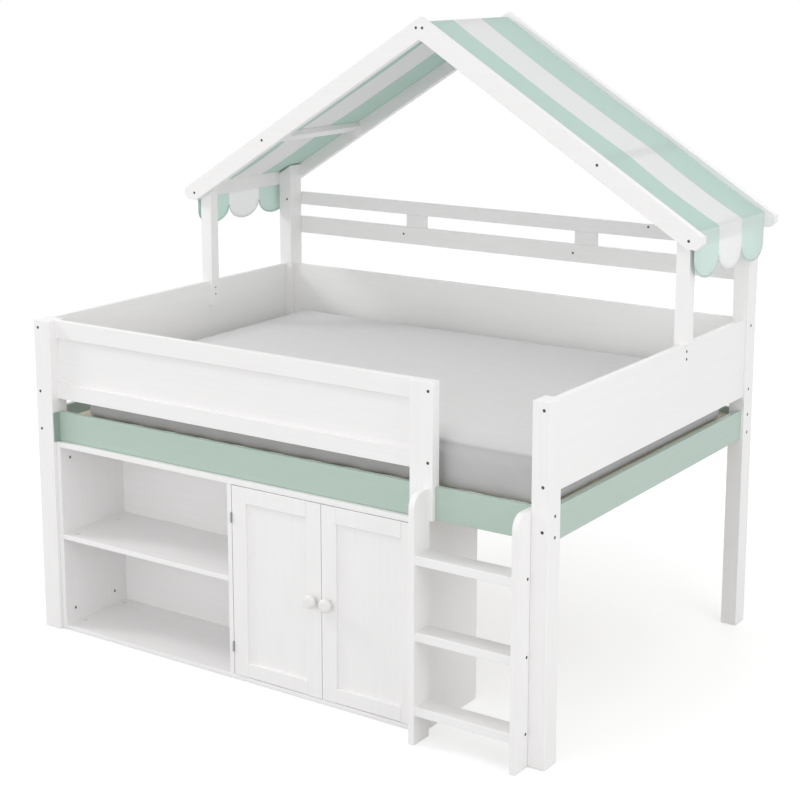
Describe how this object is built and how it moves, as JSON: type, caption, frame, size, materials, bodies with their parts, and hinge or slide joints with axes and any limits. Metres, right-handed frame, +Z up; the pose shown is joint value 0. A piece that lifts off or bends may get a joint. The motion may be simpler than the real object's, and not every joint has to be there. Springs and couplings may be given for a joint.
{
  "type": "loft bed",
  "caption": "Mid-height loft bed with a house-shaped fabric roof over its rear half, a front ladder, panelled guards, a mattress, and a cabinet with an open bay and hinged doors underneath.",
  "frame": {"origin": "on the floor, under the middle of the whole bed's box", "axes": "+X along the bed towards the ladder end, +Y from the ladder side to the roofed rear, +Z up"},
  "size_m": [2.18, 1.573, 2.171],
  "materials": {
    "white_paint": "satin white lacquer",
    "green_paint": "satin sage green lacquer",
    "bare_wood": "planed",
    "green_metal": "satin sage green",
    "mattress_cover": "woven",
    "canopy_cloth": "green and white stripes",
    "knob": "satin lacquer",
    "hinge_steel": "zinc plated",
    "bolt_steel": "dark plated"
  },
  "bodies": {
    "bed_frame": {"front_left_post": "white_paint", "front_right_post": "white_paint", "rear_left_post": "white_paint", "rear_right_post": "white_paint", "left_end_panel": "white_paint", "right_end_panel": "white_paint", "rear_panel": "white_paint", "guard_top_rail": "white_paint", "guard_bottom_rail": "white_paint", "guard_panel": "white_paint", "guard_batten": "white_paint", "guard_stile": "white_paint", "ladder_left_stile": "white_paint", "ladder_right_stile": "white_paint", "lower_rung": "white_paint", "middle_rung": "white_paint", "upper_rung": "white_paint", "rear_low_guard_rail": "white_paint", "rear_top_guard_rail": "white_paint", "rear_guard_blocks": "white_paint", "front_left_rafter": "white_paint", "front_right_rafter": "white_paint", "rear_left_rafter": "white_paint", "rear_right_rafter": "white_paint", "left_roof_leg": "white_paint", "right_roof_leg": "white_paint", "ridge_beam": "white_paint", "roof_purlins": "white_paint", "eave_beams": "white_paint", "cabinet_left_side": "white_paint", "cabinet_right_side": "white_paint", "cabinet_base": "white_paint", "cabinet_top": "white_paint", "cabinet_back": "white_paint", "cabinet_divider": "white_paint", "open_shelf": "white_paint", "inner_shelf": "white_paint", "front_side_rail": "green_paint", "rear_side_rail": "green_paint", "left_end_rail": "green_paint", "right_end_rail": "green_paint", "slat_ledgers": "bare_wood", "centre_beam": "bare_wood", "bed_slats": "bare_wood", "front_rail_plate": "green_metal", "mattress": "mattress_cover", "roof_canopy": "canopy_cloth", "door_hinges": "hinge_steel", "frame_bolts": "bolt_steel", "ladder_bolts": "bolt_steel", "roof_bolts": "bolt_steel", "shelf_pins": "bolt_steel"},
    "left_door": {"left_door_frame": "white_paint", "left_door_panel": "white_paint", "left_door_knob": "knob", "left_door_hinge_leaves": "hinge_steel"},
    "right_door": {"right_door_frame": "white_paint", "right_door_panel": "white_paint", "right_door_knob": "knob", "right_door_hinge_leaves": "hinge_steel"}
  },
  "joints": [
    {"name": "left_door_hinge", "type": "hinge", "parent": "bed_frame", "child": "left_door", "pos_m": [-0.1618, -0.7048, 0.338], "axis": [0, 0, -1], "range_deg": [0, 110]},
    {"name": "right_door_hinge", "type": "hinge", "parent": "bed_frame", "child": "right_door", "pos_m": [0.5708, -0.7048, 0.338], "axis": [0, 0, 1], "range_deg": [0, 98]}
  ]
}
